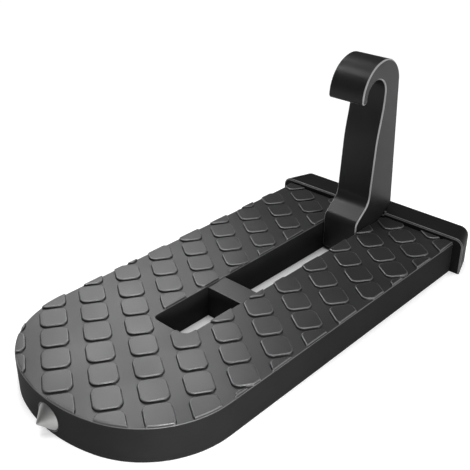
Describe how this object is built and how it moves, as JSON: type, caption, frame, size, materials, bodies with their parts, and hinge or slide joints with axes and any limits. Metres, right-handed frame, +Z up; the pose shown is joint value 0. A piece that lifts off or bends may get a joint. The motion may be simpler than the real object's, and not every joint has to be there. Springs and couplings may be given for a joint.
{
  "type": "car door latch step",
  "caption": "Foot plate with a raised block tread that hangs from a car door's latch bar by a folding hook, with a rubber end bumper and a steel window-breaking cone.",
  "frame": {"origin": "on the underside's plane, below the middle of the whole length, on the plate's centre line", "axes": "+X along the plate to its rounded nose and the steel cone, +Z up along the upright hook, +Y across the plate"},
  "size_m": [0.187, 0.0934, 0.0847],
  "materials": {
    "cast_black": "matt black powder coat on a casting",
    "hook_black": "satin black coat on steel",
    "rubber_black": "matt moulded rubber",
    "steel_bright": "zinc plated",
    "washer_plastic": "plain nylon",
    "tip_steel": "turned and hardened"
  },
  "bodies": {
    "plate": {"step_plate": "cast_black", "hinge_pin": "steel_bright", "near_pin_strap": "steel_bright", "far_pin_strap": "steel_bright", "strap_screws": "steel_bright", "end_bumper": "rubber_black", "bumper_washers": "steel_bright", "bumper_screws": "steel_bright", "hammer_tip": "tip_steel", "tip_spring_washer": "steel_bright", "tip_nut": "steel_bright"},
    "hook": {"hook_arm": "hook_black", "near_friction_washer": "washer_plastic", "far_friction_washer": "washer_plastic"}
  },
  "joints": [
    {"name": "hook_fold", "type": "hinge", "parent": "plate", "child": "hook", "pos_m": [-0.06995, 0, 0.0066], "axis": [0, 1, 0], "range_deg": [0, 76.5]}
  ]
}
